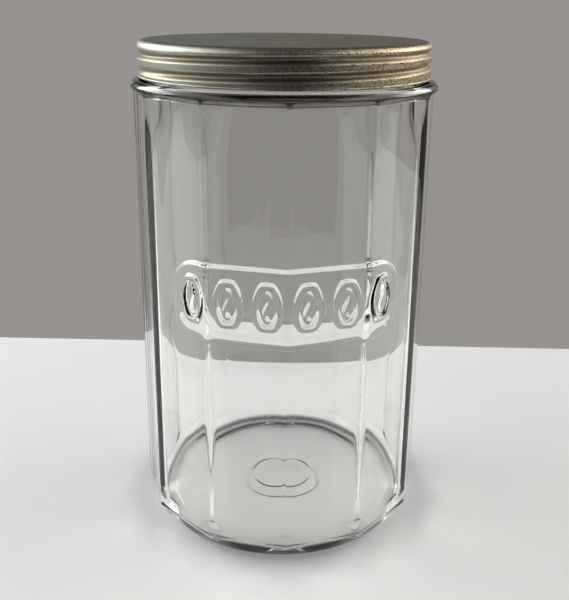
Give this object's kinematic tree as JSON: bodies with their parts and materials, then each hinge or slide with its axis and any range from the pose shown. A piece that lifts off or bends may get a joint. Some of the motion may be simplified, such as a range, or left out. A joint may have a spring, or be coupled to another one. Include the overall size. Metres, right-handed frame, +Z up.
{
  "type": "glass storage jar with screw lid",
  "caption": "Panelled clear glass countertop storage jar with a raised front pad and a rolled-thread metal screw lid with a liner.",
  "frame": {"origin": "centre of the foot, in the plane that the jar stands on", "axes": "+Z up along the jar's axis, -Y towards the raised pad on the front, +X to the right when seen from the front"},
  "size_m": [0.1152, 0.1165, 0.189],
  "materials": {
    "glass": "clear pressed glass, polished, faint grey-green in the thick edges",
    "tin": "aged tinplate, dull grey with brown-gold tarnish in the grooves",
    "board": "uncoated grey-brown pulpboard",
    "waxed_paper": "cream waxed paper, satin"
  },
  "bodies": {
    "jar": {"glass_jar": "glass"},
    "liner": {"liner_board": "board", "liner_facing": "waxed_paper"},
    "lid": {"lid_shell": "tin"}
  },
  "joints": [
    {"name": "lid_rise", "type": "slide", "parent": "jar", "child": "liner", "axis": [0, 0, 1], "range_m": [0, 0.0163]},
    {"name": "lid_turn", "type": "hinge", "parent": "liner", "child": "lid", "pos_m": [0, 0, 0.1875], "axis": [0, 0, 1], "range_deg": [0, 1080]}
  ],
  "couplings": [
    {"joint": "lid_rise", "follows": "lid_turn", "m_per_rad": 0.00085944}
  ]
}
